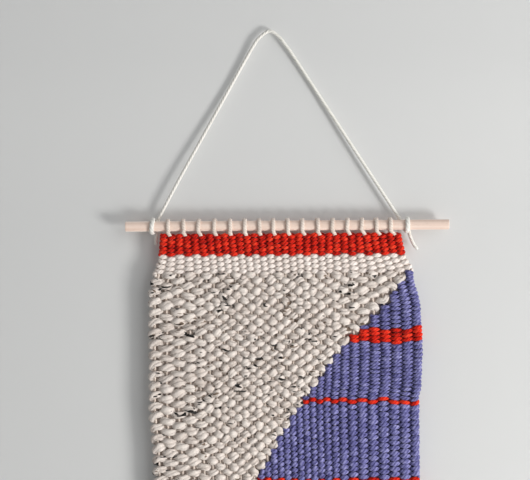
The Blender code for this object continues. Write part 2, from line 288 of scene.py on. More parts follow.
# %% How the yarns handle
FINE = {"steps": 8, "turn": 6, "reach": 0.0029, "depth": 0.0013, "bead": 1.12, "waist": 0.32,
        "snap": 0.65, "full": 0.66, "thin": 0.8, "round": 0.0027, "slant": 0.00003,
        "restless": 0.0002, "jolt": 0.00020, "uneven": 0.08}
CREAMY = dict(FINE, reach=0.0017, bead=1.02, waist=0.54, full=0.6, jolt=0.00024)
TWEEDY = {"steps": 7, "turn": 7, "reach": 0.0025, "depth": 0.0022, "bead": 0.80, "waist": 0.50,
          "snap": 0.62, "full": 0.42, "thin": 0.95, "round": 0.0042, "slant": 0.0,
          "restless": 0.0010, "jolt": 0.00075, "uneven": 0.24}

TWEED_ROW = 0.00495             # about the height of one tweed pick
TWEED_PICKS = 2 * round((CREAM_END - CLOTH_END) / (2 * TWEED_ROW))
TWEED_PITCH = (CREAM_END - CLOTH_END) / TWEED_PICKS
STAIRS = {}


def first_blue_warp(z):
    """The first warp that the blue covers, the same for each pair of tweed picks: the stairs."""
    pair = int(np.clip((CREAM_END - z) / (2 * TWEED_PITCH), 0, TWEED_PICKS / 2 - 1))
    if pair not in STAIRS:
        middle = CREAM_END - (pair + 0.5) * 2 * TWEED_PITCH
        places = warp_x(np.arange(WARPS), middle)
        STAIRS[pair] = int(np.searchsorted(places, diagonal_x(middle)))
    return min(max(STAIRS[pair], 1), WARPS)


def whole_width(z):
    return 0, WARPS - 1


def tweed_width(z):
    return 0, first_blue_warp(z) - 1


def blue_width(z):
    return min(first_blue_warp(z), WARPS - 1), WARPS - 1


print("tweed picks:", TWEED_PICKS, "first stairs:",
      [first_blue_warp(CREAM_END - TWEED_ROW * k) for k in range(0, 12, 2)])

# %% [markdown]
# ## One tree spins every string
#
# Cotton, wool and cord are the same thing at different sizes: a few plies twisted together.
# The tree takes bare routes (edges with named attributes), sweeps a ring along them, presses a
# groove between the plies that winds round as the yarn twists, scales the ring by the wide,
# tall and deep of its route point, and lays a UV strip for each row. Small helpers keep it
# readable.

# %% Helpers for node trees
def plug(tree, value, socket):
    """Link a socket, or set a plain value."""
    if isinstance(value, bpy.types.NodeSocket):
        tree.links.new(value, socket)
    elif value is not None:
        socket.default_value = value


def node(tree, kind, inputs=(), **settings):
    made = tree.nodes.new(kind)
    for name, value in settings.items():
        setattr(made, name, value)
    for key, value in dict(inputs).items():
        plug(tree, value, made.inputs[key])
    return made


def maths(tree, operation, *values, kind="ShaderNodeMath"):
    made = node(tree, kind, operation=operation)
    for socket, value in zip(made.inputs, values):
        plug(tree, value, socket)
    return made.outputs[0]


def vector_maths(tree, operation, *values):
    return maths(tree, operation, *values, kind="ShaderNodeVectorMath")


def scaled(tree, vector, scale):
    return node(tree, "ShaderNodeVectorMath", {0: vector, "Scale": scale},
                operation="SCALE").outputs[0]


def vector_of(tree, **parts):
    return node(tree, "ShaderNodeCombineXYZ", parts).outputs[0]


def noise(tree, place, scale, detail, **sockets):
    sockets = {"Vector": place, "Scale": scale, "Detail": detail, **sockets}
    return node(tree, "ShaderNodeTexNoise", sockets).outputs[0]


def ranged(tree, value, **ends):
    ends = {label.replace("_", " "): end for label, end in ends.items()}
    return node(tree, "ShaderNodeMapRange", {"Value": value, **ends}).outputs[0]


def mixed(tree, factor, first, second):
    """One colour over another; sockets 6 and 7 are the mix node's two colours."""
    made = node(tree, "ShaderNodeMix", {"Factor": factor, 6: first, 7: second}, data_type="RGBA")
    return made.outputs[2]


def object_place(tree):
    return node(tree, "ShaderNodeTexCoord").outputs["Object"]


def tree_with(name, kind, inputs, outputs):
    """A node group with named sockets: (name, socket type, default)."""
    tree = bpy.data.node_groups.new(name, kind)
    for label, socket_type, default in inputs:
        made = tree.interface.new_socket(label, in_out="INPUT", socket_type=socket_type)
        if default is not None:
            made.default_value = default
    for label, socket_type in outputs:
        tree.interface.new_socket(label, in_out="OUTPUT", socket_type=socket_type)
    return tree, tree.nodes.new("NodeGroupInput").outputs, tree.nodes.new("NodeGroupOutput").inputs


def named(tree, name):
    return node(tree, "GeometryNodeInputNamedAttribute", {"Name": name},
                data_type="FLOAT").outputs[0]


def crown_of_ply(tree, turned, plies):
    """1 on the crown of a ply and 0 in the groove between two."""
    wave = maths(tree, "MULTIPLY", maths(tree, "MULTIPLY", turned, math.pi), plies)
    return maths(tree, "ABSOLUTE", maths(tree, "COSINE", wave))


def wound(tree, around, length, turns):
    return maths(tree, "ADD", around, maths(tree, "MULTIPLY", length, turns))


# %% The spun yarn tree
LUMPS_PER_METRE = 330.0
LANE_MARGIN = 0.05              # the empty share at each side of a row's strip of UV
MERGE_WITHIN = 0.000012         # closes the ring's seam and the tips


def spun_yarn_tree():
    tree, given, result = tree_with(
        "spun_yarn", "GeometryNodeTree",
        (("Route", "NodeSocketGeometry", None), ("Sides", "NodeSocketInt", 12),
         ("Plies", "NodeSocketInt", 3), ("Groove", "NodeSocketFloat", 0.2),
         ("Turns per Metre", "NodeSocketFloat", 140.0), ("Lumps", "NodeSocketFloat", 0.0),
         ("Rows", "NodeSocketInt", 1), ("Finish", "NodeSocketMaterial", None)),
        (("Yarn", "NodeSocketGeometry"),))
    curve = node(tree, "GeometryNodeMeshToCurve", {"Mesh": given["Route"]}).outputs[0]
    along = node(tree, "GeometryNodeSplineParameter").outputs["Length"]
    heart = node(tree, "GeometryNodeCaptureAttribute", {"Geometry": curve})
    heart.capture_items.new("VECTOR", "Centre")
    heart.capture_items.new("FLOAT", "Along")
    plug(tree, node(tree, "GeometryNodeInputPosition").outputs[0], heart.inputs["Centre"])
    plug(tree, along, heart.inputs["Along"])
    ring_points = maths(tree, "ADD", given["Sides"], 1.0)
    ring = node(tree, "GeometryNodeCurveArc",
                {"Resolution": ring_points, "Radius": 1.0, "Sweep Angle": 2 * math.pi}).outputs[0]
    rim = node(tree, "GeometryNodeCaptureAttribute", {"Geometry": ring})
    rim.capture_items.new("FLOAT", "Around")
    plug(tree, node(tree, "GeometryNodeSplineParameter").outputs["Factor"], rim.inputs["Around"])
    swept = node(tree, "GeometryNodeCurveToMesh",
                 {"Curve": heart.outputs["Geometry"], "Profile Curve": rim.outputs["Geometry"]})
    around, length = rim.outputs["Around"], heart.outputs["Along"]
    turned = wound(tree, around, length, given["Turns per Metre"])
    dip = maths(tree, "SUBTRACT", 1.0, crown_of_ply(tree, turned, given["Plies"]))
    shrink = maths(tree, "SUBTRACT", 1.0, maths(tree, "MULTIPLY", dip, given["Groove"]))
    here = node(tree, "GeometryNodeInputPosition").outputs[0]
    spoke = vector_maths(tree, "SUBTRACT", here, heart.outputs["Centre"])
    lump_spot = vector_maths(tree, "ADD", scaled(tree, heart.outputs["Centre"], LUMPS_PER_METRE),
                             spoke)
    lump = maths(tree, "SUBTRACT", noise(tree, lump_spot, 1.0, 1.0), 0.5)
    shrink = maths(tree, "ADD", shrink, maths(tree, "MULTIPLY", lump, given["Lumps"]))
    size = vector_of(tree, X=named(tree, "wide"), Y=named(tree, "deep"), Z=named(tree, "tall"))
    spoke = vector_maths(tree, "MULTIPLY", spoke, size)
    place = vector_maths(tree, "ADD", heart.outputs["Centre"], scaled(tree, spoke, shrink))
    shaped = node(tree, "GeometryNodeSetPosition",
                  {"Geometry": swept.outputs[0], "Position": place}).outputs[0]
    shaped = store_uv(tree, shaped, "yarn", vector_of(tree, X=length, Y=around))
    row = node(tree, "GeometryNodeFieldOnDomain", {0: named(tree, "row")},
               data_type="FLOAT", domain="FACE").outputs[0]
    across = maths(tree, "ADD", maths(tree, "MULTIPLY", around, 1 - 2 * LANE_MARGIN), LANE_MARGIN)
    lane = maths(tree, "ADD", maths(tree, "FLOOR", maths(tree, "ADD", row, 0.01)), across)
    lane = maths(tree, "DIVIDE", lane, given["Rows"])
    shaped = store_uv(tree, shaped, "OFBake", vector_of(tree, X=named(tree, "share"), Y=lane))
    shaped = node(tree, "GeometryNodeMergeByDistance",
                  {"Geometry": shaped, "Distance": MERGE_WITHIN}).outputs[0]
    shaped = node(tree, "GeometryNodeRealizeInstances", {"Geometry": shaped}).outputs[0]
    shaped = node(tree, "GeometryNodeSetMaterial",
                  {"Geometry": shaped, "Material": given["Finish"]}).outputs[0]
    plug(tree, shaped, result["Yarn"])
    return tree


def store_uv(tree, geometry, name, vector):
    stored = node(tree, "GeometryNodeStoreNamedAttribute",
                  {"Geometry": geometry, "Name": name}, data_type="FLOAT2", domain="CORNER")
    plug(tree, vector, stored.inputs["Value"])
    return stored.outputs[0]


SPUN_YARN = spun_yarn_tree()
print("spun_yarn nodes:", len(SPUN_YARN.nodes))


# %% From a route to a finished piece
TIP = 0.000004                  # the size of a strand's last ring, which the merge closes
UV_END = 0.02                   # the share kept free at each end of a strand's strip
CURVE_SAMPLES = 24              # from one point of a route to the next


def placed(name, data, location=(0.0, 0.0, 0.0)):
    made = bpy.data.objects.new(name, data)
    made.location = location
    bpy.context.scene.collection.objects.link(made)
    return made


def route_object(name, strands):
    """A mesh of bare edges, one polyline for each strand, with its attributes on the points."""
    mesh = bpy.data.meshes.new(name)
    places = np.concatenate([strand["place"] for strand in strands])
    edges, start = [], 0
    for strand in strands:
        count = len(strand["place"])
        edges += [(start + k, start + k + 1) for k in range(count - 1)]
        start += count
    mesh.from_pydata(places.tolist(), edges, [])
    for key in ("wide", "tall", "deep", "row", "share", "tone"):
        values = np.concatenate([strand[key] for strand in strands]).astype(np.float32)
        mesh.attributes.new(key, "FLOAT", "POINT").data.foreach_set("value", values)
    return placed(name, mesh)


def set_input(modifier, label, value):
    """A modifier's input is found by its label and set by its identifier."""
    for item in modifier.node_group.interface.items_tree:
        if item.item_type == "SOCKET" and item.in_out == "INPUT" and item.name == label:
            modifier[item.identifier] = value
            return
    raise KeyError(label)


def baked(name, carrier):
    """The evaluated result as a plain mesh object; the carrier and its modifiers go."""
    bpy.context.view_layer.update()
    evaluated = carrier.evaluated_get(bpy.context.evaluated_depsgraph_get())
    mesh = bpy.data.meshes.new_from_object(evaluated)
    mesh.name = name
    bpy.data.objects.remove(carrier, do_unlink=True)
    mesh.shade_smooth()
    return placed(name, mesh)


def closed_ends(strand):
    """Draw the two points at each end of a strand to a tip, so that its tube closes."""
    for key in ("wide", "tall", "deep"):
        size = strand[key]
        size[:2] = np.maximum(size[:2] * (0.0, 0.8), TIP)
        size[-2:] = np.maximum(size[-2:] * (0.8, 0.0), TIP)
    return strand


def spin(name, strands, finish, sides=12, plies=3, groove=0.2, turns=140.0, lumps=0.0, rows=1):
    carrier = route_object(name + "_route", [closed_ends(strand) for strand in strands])
    modifier = carrier.modifiers.new("spun_yarn", "NODES")
    modifier.node_group = SPUN_YARN
    for label, value in (("Sides", sides), ("Plies", plies), ("Groove", groove),
                         ("Turns per Metre", turns), ("Lumps", lumps), ("Rows", rows),
                         ("Finish", finish)):
        set_input(modifier, label, value)
    piece = baked(name, carrier)
    print(f"{name}: {len(piece.data.polygons) * 2} triangles")
    return piece


def plain_strand(places, radius, row=0.0, tone=0.0, thin=None):
    """A strand along the points: round, or pressed flat where `thin` is less than the radius."""
    places = np.asarray(places, float)
    count = len(places)
    step = np.linalg.norm(np.diff(places, axis=0), axis=1)
    share = np.concatenate([[0.0], np.cumsum(step)]) / step.sum()
    wide = np.full(count, radius) if np.isscalar(radius) else np.asarray(radius, float)
    thin = wide if thin is None else thin
    return {"place": places, "wide": wide.copy(), "tall": thin.copy(), "deep": thin.copy(),
            "row": np.full(count, row), "share": UV_END + (1 - 2 * UV_END) * share,
            "tone": np.full(count, tone)}


def smooth_route(points, step):
    """Points every `step` along a smooth curve that passes through the route's points."""
    knots = [Vector(p) for p in points]
    knots = [2 * knots[0] - knots[1], *knots, 2 * knots[-1] - knots[-2]]
    fine = []
    for a, b, c, d in zip(knots, knots[1:], knots[2:], knots[3:]):
        for t in np.linspace(0.0, 1.0, CURVE_SAMPLES, endpoint=False):
            fine.append(0.5 * (2 * b + (c - a) * t + (2 * a - 5 * b + 4 * c - d) * t ** 2
                               + (3 * b - a - 3 * c + d) * t ** 3))
    fine.append(knots[-2])
    fine = np.array(fine)
    along = np.concatenate([[0.0], np.cumsum(np.linalg.norm(np.diff(fine, axis=0), axis=1))])
    stops = np.linspace(0.0, along[-1], max(2, round(along[-1] / step)) + 1)
    return np.stack([np.interp(stops, along, fine[:, axis]) for axis in range(3)], axis=1)


# %% [markdown]
# ## Finishes
#
# Wool is matt: its colour changes from bead to bead and from fibre to fibre, and its rim looks
# paler where loose fibres catch the light, which the Principled shader's sheen does. The fibre
# pattern is one shader group for every string. It reads the yarn's own UV, so the fine lines
# follow the ply round the yarn wherever it goes.

# %% Shader groups
FIBRES_PER_METRE = 160.0
GROOVE_FALL, GROOVE_RELIEF = 1.6, 0.9    # how fast a ply falls into its groove, and how far
MOTTLE_PER_METRE = 260.0
# The last weight is the painted shade in the hollow between two plies.
MOTTLE_WEIGHT, FIBRE_WEIGHT, GROOVE_SHADE_WEIGHT = 0.7, 0.9, 0.28
LEVEL_SHIFT = 0.27              # centres the sum, so that 0.5 is the body colour
SHADE_LEVEL, BODY_LEVEL, BRIGHT_LEVEL = 0.15, 0.5, 0.95


def ply_fibre_group():
    """Fine lines along the twist, and the hollow between two plies."""
    tree, given, result = tree_with(
        "ply_fibre", "ShaderNodeTree",
        (("Turns per Metre", "NodeSocketFloat", 140.0), ("Plies", "NodeSocketFloat", 3.0),
         ("Fineness", "NodeSocketFloat", 1.0)),
        (("Height", "NodeSocketFloat"), ("Fibre", "NodeSocketFloat"),
         ("Hollow", "NodeSocketFloat")))
    strip = node(tree, "ShaderNodeUVMap", uv_map="yarn").outputs[0]
    along, around = node(tree, "ShaderNodeSeparateXYZ", {0: strip}).outputs[:2]
    turned = wound(tree, around, along, given["Turns per Metre"])
    crown = crown_of_ply(tree, turned, given["Plies"])
    hollow = maths(tree, "POWER", maths(tree, "SUBTRACT", 1.0, crown), GROOVE_FALL)
    turn = maths(tree, "MULTIPLY", turned, 2 * math.pi)
    spot = vector_of(
        tree, X=maths(tree, "MULTIPLY", maths(tree, "COSINE", turn), given["Fineness"]),
        Y=maths(tree, "MULTIPLY", maths(tree, "SINE", turn), given["Fineness"]),
        Z=maths(tree, "MULTIPLY", along, FIBRES_PER_METRE))
    fibre = noise(tree, spot, 3.0, 4.0, Roughness=0.65)
    height = maths(tree, "SUBTRACT", fibre, maths(tree, "MULTIPLY", hollow, GROOVE_RELIEF))
    plug(tree, height, result["Height"])
    plug(tree, fibre, result["Fibre"])
    plug(tree, hollow, result["Hollow"])
    return tree


def wool_colour_group():
    """Colour from bead to bead, a mottle finer than a bead, and painted shade between plies."""
    tree, given, result = tree_with(
        "wool_colour", "ShaderNodeTree",
        (("Deep Shade", "NodeSocketColor", (0, 0, 0, 1)),
         ("Body", "NodeSocketColor", (0.5, 0.5, 0.5, 1)),
         ("Bright", "NodeSocketColor", (1, 1, 1, 1)), ("Fibre", "NodeSocketFloat", 0.5),
         ("Hollow", "NodeSocketFloat", 0.0), ("Bead Contrast", "NodeSocketFloat", 0.25)),
        (("Color", "NodeSocketColor"),))
    mottle = noise(tree, object_place(tree), MOTTLE_PER_METRE, 3.0)
    tone = node(tree, "ShaderNodeAttribute", attribute_name="tone").outputs["Fac"]
    level = maths(tree, "ADD", maths(tree, "MULTIPLY", mottle, MOTTLE_WEIGHT),
                  maths(tree, "MULTIPLY", given["Fibre"], FIBRE_WEIGHT))
    level = maths(tree, "ADD", level, maths(tree, "MULTIPLY", tone, given["Bead Contrast"]))
    # Painted shade: the colour darkens in the hollow between two plies.
    level = maths(tree, "SUBTRACT", level,
                  maths(tree, "MULTIPLY", given["Hollow"], GROOVE_SHADE_WEIGHT))
    level = maths(tree, "SUBTRACT", level, LEVEL_SHIFT)
    dark = ranged(tree, level, From_Min=SHADE_LEVEL, From_Max=BODY_LEVEL)
    light = ranged(tree, level, From_Min=BODY_LEVEL, From_Max=BRIGHT_LEVEL)
    plug(tree, mixed(tree, light, mixed(tree, dark, given["Deep Shade"], given["Body"]),
                     given["Bright"]), result["Color"])
    return tree


PLY_FIBRE = ply_fibre_group()
WOOL_COLOUR = wool_colour_group()


# %% String and yarn materials
def linear(red, green, blue):
    """A colour given on a 0 to 255 scale, as the renderer's linear light."""
    return tuple((value / 255) ** 2.2 for value in (red, green, blue)) + (1.0,)


def new_finish(name, roughness):
    """A material with the renderer's own shader: the material, its tree and the shader."""
    made = bpy.data.materials.new(name)
    made.use_nodes = True
    shader = made.node_tree.nodes["Principled BSDF"]
    shader.inputs["Roughness"].default_value = roughness
    return made, made.node_tree, shader


def add_relief(tree, shader, height, strength, distance):
    lift = node(tree, "ShaderNodeBump", {"Strength": strength, "Distance": distance,
                                         "Height": height})
    plug(tree, lift.outputs[0], shader.inputs["Normal"])


def yarn_material(name, shade, body, bright, turns, plies=3, fineness=1.0, contrast=0.25,
                  bump=0.6, sheen=0.25, relief=0.0005):
    made, tree, shader = new_finish(name, 0.92)
    shader.inputs["Specular IOR Level"].default_value = 0.25
    shader.inputs["Sheen Weight"].default_value = sheen
    shader.inputs["Sheen Roughness"].default_value = 0.45
    fibre = node(tree, "ShaderNodeGroup", node_tree=PLY_FIBRE)
    fibre.inputs["Turns per Metre"].default_value = turns
    fibre.inputs["Plies"].default_value = plies
    fibre.inputs["Fineness"].default_value = fineness
    colour = node(tree, "ShaderNodeGroup", node_tree=WOOL_COLOUR)
    colour.inputs["Deep Shade"].default_value = shade
    colour.inputs["Body"].default_value = body
    colour.inputs["Bright"].default_value = bright
    colour.inputs["Bead Contrast"].default_value = contrast
    plug(tree, fibre.outputs["Fibre"], colour.inputs["Fibre"])
    plug(tree, fibre.outputs["Hollow"], colour.inputs["Hollow"])
    plug(tree, colour.outputs["Color"], shader.inputs["Base Color"])
    add_relief(tree, shader, fibre.outputs["Height"], bump, relief)
    return made


FINE_YARN = {"sides": 15, "plies": 3, "groove": 0.18, "turns": 100.0, "lumps": 0.12}
TWEED_SPIN = {"sides": 12, "plies": 3, "groove": 0.20, "turns": 22.0, "lumps": 0.62}
WARP_SPIN = {"sides": 10, "plies": 2, "groove": 0.16, "turns": 200.0}
CORD_SPIN = {"sides": 15, "plies": 3, "groove": 0.20, "turns": 85.0}

RED_WOOL = yarn_material("red_wool_yarn", linear(126, 3, 0), linear(224, 38, 18),
                         linear(250, 94, 62), FINE_YARN["turns"], contrast=0.14, sheen=0.08)
BLUE_WOOL = yarn_material("blue_wool_yarn", linear(41, 38, 90), linear(113, 112, 167),
                          linear(192, 190, 234), FINE_YARN["turns"], contrast=0.07, sheen=0.2)
CREAM_WOOL = yarn_material("cream_wool_yarn", linear(218, 205, 197), linear(239, 228, 221),
                           linear(247, 239, 234), FINE_YARN["turns"], contrast=0.12)
WARP_COTTON = yarn_material("warp_cotton_string", linear(208, 192, 180), linear(232, 218, 207),
                            linear(247, 237, 228), WARP_SPIN["turns"], plies=2, contrast=0.08,
                            sheen=0.1)
CORD_COTTON = yarn_material("white_cord_string", linear(216, 214, 206), linear(238, 236, 230),
                            linear(250, 249, 245), CORD_SPIN["turns"], contrast=0.05, sheen=0.1)

# %% [markdown]
# The tweed has dark and tan flecks spun into it. They are short hairs that lie across the cloth,
# as its rows do, so a noise is stretched along X and only its highest peaks are kept, and a
# second, slow noise gathers them in patches.

# %% The flecked yarn
FLECK_STRETCH = (160.0, 380.0, 500.0)
PATCHES_PER_METRE, PATCH_WEIGHT = 42.0, 0.45
FLECK_EDGE = 0.035              # the softness of a fleck's edge


def fleck_group():
    tree, given, result = tree_with(
        "flecks", "ShaderNodeTree",
        (("Scale", "NodeSocketFloat", 1.0), ("Threshold", "NodeSocketFloat", 0.66),
         ("Seed", "NodeSocketFloat", 0.0)),
        (("Mask", "NodeSocketFloat"),))
    place = object_place(tree)
    stretch = node(tree, "ShaderNodeMapping", {"Vector": place, "Scale": FLECK_STRETCH})
    fine = node(tree, "ShaderNodeTexNoise",
                {"Vector": scaled(tree, stretch.outputs[0], given["Scale"]), "W": given["Seed"],
                 "Scale": 1.0, "Detail": 1.0, "Distortion": 0.5}, noise_dimensions="4D")
    slow = node(tree, "ShaderNodeTexNoise",
                {"Vector": place, "W": given["Seed"], "Scale": PATCHES_PER_METRE, "Detail": 1.0},
                noise_dimensions="4D")
    patch = maths(tree, "MULTIPLY", maths(tree, "SUBTRACT", slow.outputs[0], 0.5), PATCH_WEIGHT)
    total = maths(tree, "ADD", fine.outputs[0], patch)
    high = maths(tree, "ADD", given["Threshold"], FLECK_EDGE)
    mask = ranged(tree, total, From_Min=given["Threshold"], From_Max=high)
    plug(tree, mask, result["Mask"])
    return tree


FLECKS = fleck_group()


def add_flecks(material, colour, threshold, scale, seed):
    """Mix one kind of fleck over whatever already feeds the base colour."""
    tree = material.node_tree
    shader = tree.nodes["Principled BSDF"]
    before = shader.inputs["Base Color"].links[0].from_socket
    mask = node(tree, "ShaderNodeGroup", node_tree=FLECKS)
    mask.inputs["Threshold"].default_value = threshold
    mask.inputs["Scale"].default_value = scale
    mask.inputs["Seed"].default_value = seed
    plug(tree, mixed(tree, mask.outputs[0], before, colour), shader.inputs["Base Color"])


TWEED_YARN = yarn_material("flecked_tweed_yarn", linear(212, 199, 190), linear(236, 225, 217),
                           linear(240, 231, 223), TWEED_SPIN["turns"], fineness=1.6,
                           contrast=0.22, bump=0.9, relief=0.0012)
add_flecks(TWEED_YARN, linear(128, 110, 96), 0.69, 0.55, 3.1)
add_flecks(TWEED_YARN, linear(24, 20, 18), 0.668, 0.50, 7.7)

# %% The wood of the dowel
GRAIN_STRETCH, PORE_STRETCH = (9.0, 260.0, 260.0), (160.0, 2600.0, 2600.0)


def birch():
    """Pale sanded birch: long grain along X and a few darker pores."""
    made, tree, shader = new_finish("birch_dowel", 0.55)
    place = object_place(tree)
    along = node(tree, "ShaderNodeMapping", {"Vector": place, "Scale": GRAIN_STRETCH})
    grain = noise(tree, along.outputs[0], 1.0, 5.0, Distortion=0.6)
    pores = node(tree, "ShaderNodeMapping", {"Vector": place, "Scale": PORE_STRETCH})
    specks = noise(tree, pores.outputs[0], 1.0, 2.0)
    ramp = node(tree, "ShaderNodeValToRGB", {"Fac": grain})
    ramp.color_ramp.elements[0].position = 0.32
    ramp.color_ramp.elements[0].color = linear(231, 205, 190)
    ramp.color_ramp.elements[1].position = 0.68
    ramp.color_ramp.elements[1].color = linear(249, 233, 222)
    pore = ranged(tree, specks, From_Min=0.62, From_Max=0.72, To_Max=0.35)
    plug(tree, mixed(tree, pore, ramp.outputs[0], linear(170, 138, 108)),
         shader.inputs["Base Color"])
    shader.inputs["Diffuse Roughness"].default_value = 0.9
    add_relief(tree, shader, grain, 0.25, 0.0002)
    return made


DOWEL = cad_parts["dowel"]
DOWEL.data.materials.clear()
DOWEL.data.materials.append(birch())

# %% [markdown]
# ## The camera and the hanging cord
#
# The cord comes first, because it says how far the object spreads. It is one length of white
# cotton: a tail, a turn round the dowel, up to the hook, down again, a turn and a tail. The
# route's points are the same ones that the solid parts follow.

# %% The camera
CAMERA_DISTANCE = 1.5
VIEW_CENTRE = Vector((-0.0056, 0.0, -0.1951))
VIEW_WIDTH = 0.4993             # how much of the cloth's plane the picture spans
CAMERA_ROLL = math.radians(0.4)
camera_data = bpy.data.cameras.new("camera")
camera_data.lens = camera_data.sensor_width * CAMERA_DISTANCE / VIEW_WIDTH
camera = placed("camera", camera_data, VIEW_CENTRE + Vector((0.0, -CAMERA_DISTANCE, 0.0)))
camera.rotation_euler = (math.radians(90), CAMERA_ROLL, 0.0)
bpy.context.scene.camera = camera


# %% The hanging cord
def round_dowel(angle, radius, x):
    """A place beside the dowel: angle 0 is behind it, 90 above, 180 in front, 270 below."""
    turn = math.radians(angle)
    return (x, radius * math.cos(turn), DOWEL_Z + radius * math.sin(turn))


HITCH_WIDE, HITCH_THIN = 0.0023, 0.0014      # where it bears on the dowel the cord spreads
LAP = DOWEL_RADIUS + TOUCH + HITCH_THIN
LEFT_TURN = ((-265, -0.1108), (-225, -0.1112), (-180, -0.1119), (-135, -0.1121), (-90, -0.1117),
             (-45, -0.1109), (0, -0.1100))       # the angle round the dowel, and x
RIGHT_TURN = ((0, 0.1254), (-45, 0.1267), (-90, 0.1277), (-135, 0.1283), (-180, 0.1285),
              (-225, 0.1285), (-270, 0.1287), (-315, 0.1293), (-350, 0.1298))
CORD_ROUTE = (
    (-0.1089, 0.0076, -0.1995), (-0.1089, 0.0084, -0.1930), (-0.1089, 0.0096, -0.1870),
    (-0.1091, 0.0105, -0.1815), (-0.1099, 0.0105, -0.1772), (-0.1111, 0.0086, -0.1753),
    (-0.1114, 0.0048, -0.1744), *(round_dowel(angle, LAP, x) for angle, x in LEFT_TURN),
    (-0.1076, LAP, -0.1770), (-0.0867, 0.0053, -0.1380), (-0.0652, 0.0038, -0.1000),
    (-0.0437, 0.0024, -0.0620), (-0.0290, 0.0014, -0.0360), (-0.0153, 0.0004, -0.0123),
    (-0.0094, 0.0001, -0.0044), (0.0, 0.0, CORD_DIAMETER / 2), (0.0085, 0.0001, -0.0036),
    (0.0147, 0.0004, -0.0111), (0.0225, 0.0009, -0.0223), (0.0469, 0.0024, -0.0600),
    (0.0728, 0.0038, -0.1000), (0.0974, 0.0053, -0.1380), (0.1226, LAP, -0.1770),
    *(round_dowel(angle, LAP, x) for angle, x in RIGHT_TURN), (0.1303, 0.0064, -0.1868),
    (0.1318, 0.0053, -0.1930), (0.1350, 0.0044, -0.2005), (0.1388, 0.0040, -0.2051),
)
cord_path = smooth_route(CORD_ROUTE, 0.0009)
bearing = fade(0.010, 0.004, np.abs(cord_path[:, 2] - DOWEL_Z))
cord_wide = CORD_DIAMETER / 2 + (HITCH_WIDE - CORD_DIAMETER / 2) * bearing
cord_thin = CORD_DIAMETER / 2 + (HITCH_THIN - CORD_DIAMETER / 2) * bearing
cord = spin("hanging_cord_string", [plain_strand(cord_path, cord_wide, thin=cord_thin)],
            CORD_COTTON, **CORD_SPIN)

# %% [markdown]
# ## Warps and their loops
#
# Each string comes up one warp, over the dowel and down the next. Above the cloth it is slack
# and fat; inside the cloth it is stretched thin. All sixteen are one piece on the cloth's body.

# %% The warp strings
WARP_LAP = DOWEL_RADIUS + TOUCH + LOOP_THIN
LOOP_TILT = 0.0008
LOOP_ANGLES = range(-20, 221, 30)    # degrees round the dowel, from the back over the top
SINK = 0.004                    # below the cloth's top, a slack string is stretched thin
REAR_LEG = ((0.5, 0.0016, CLOTH_TOP + 0.0006), (0.2, 0.0046, DOWEL_Z - 0.0062))
FORE_LEG = ((0.1, -0.0046, DOWEL_Z - 0.0060), (0.5, -0.0028, CLOTH_TOP + 0.0004))


def solid_middle(node_name):
    """The middle of a CAD loop or end, so that the string passes where the solid does."""
    low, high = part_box(node_name)
    return (low[0] + high[0]) / 2


def warp_string(index):
    """Up warp 2n, over the dowel, down warp 2n + 1."""
    rng = np.random.default_rng(100 + index)
    x = solid_middle(f"warp_loop_{index + 1:02d}")
    tilt = LOOP_TILT * rng.uniform(-1, 1)
    heights = np.arange(CLOTH_TOP - SINK, CLOTH_END - 0.001, -0.003)
    inside = [[(float(warp_x(k, z)), 0.0, z) for z in heights] for k in (2 * index, 2 * index + 1)]
    over = [round_dowel(angle, WARP_LAP, x + tilt * (k - 4) / 4)
            for k, angle in enumerate(LOOP_ANGLES)]
    rear, fore = ([(x + share * (leg[0][0] - x), y, z) for share, y, z in stops]
                  for leg, stops in zip(inside, (REAR_LEG, FORE_LEG)))
    loop = smooth_route([inside[0][0], *rear, *over, *fore, inside[1][0]], 0.0008)
    depth = np.clip((CLOTH_TOP - loop[:, 2]) / SINK, 0, 1)
    below = np.full(len(heights) - 1, WARP_RADIUS)
    places = np.concatenate([inside[0][:0:-1], loop, inside[1][1:]])
    wide, thin = (np.concatenate([below, slack + (WARP_RADIUS - slack) * depth, below])
                  for slack in (LOOP_WIDE, LOOP_THIN))
    return plain_strand(places, wide, row=float(index), tone=rng.uniform(-1, 1), thin=thin)


warps = spin("warp_strings", [warp_string(k) for k in range(WARPS // 2)], WARP_COTTON,
             rows=WARPS // 2, **WARP_SPIN)

# %% [markdown]
# ## The woven areas
#
# From the top: a red heading, a cream band, the tweed field, and blue cut by red stripes. Each
# area is its own piece and stands for its own solid. The rows of two neighbouring areas share
# one boundary, so no gap opens between them.

# %% Weave each area
FIRST_PICK_LIFT = 0.0009        # the first pick is pushed up against the dowel
PACKED_PITCH = 0.0020           # a pick in the red, which is beaten down hardest
CREAM_PITCH = 0.00236
SLACK_PITCH = 0.0024            # a pick in the blue, except in its first two areas
BLUE_PITCH = {"blue_field_1": 0.0019, "blue_field_2": 0.0018}
THIN_LINE = 0.0080              # a red band lower than this is a line of two picks
TWEED_SEED, FIRST_BAND_SEED = 13, 20
wefts = {}


def picks_in(top, bottom, pitch):
    return max(2, round((top - bottom) / pitch))


def weave(node_name, top, bottom, picks, above, span, feel, finish, seed, yarn):
    """Lay and spin one area; returns how many picks have been laid when it is done."""
    route = lay_weft(top, bottom, picks, above, span, feel, seed)
    wefts[node_name] = spin(node_name + "_weft", [route], finish, rows=picks, **yarn)
    return above + picks


laid, top = 0, CLOTH_TOP + FIRST_PICK_LIFT
for node_name, bottom, pitch, feel, finish, seed in (
        ("red_heading", HEADING_END, PACKED_PITCH, FINE, RED_WOOL, 11),
        ("cream_band", CREAM_END, CREAM_PITCH, CREAMY, CREAM_WOOL, 12)):
    laid = weave(node_name, top, bottom, picks_in(top, bottom, pitch), laid, whole_width, feel,
                 finish, seed, FINE_YARN)
    top = bottom
weave("tweed_field", CREAM_END, CLOTH_END, TWEED_PICKS, laid, tweed_width, TWEEDY, TWEED_YARN,
      TWEED_SEED, TWEED_SPIN)

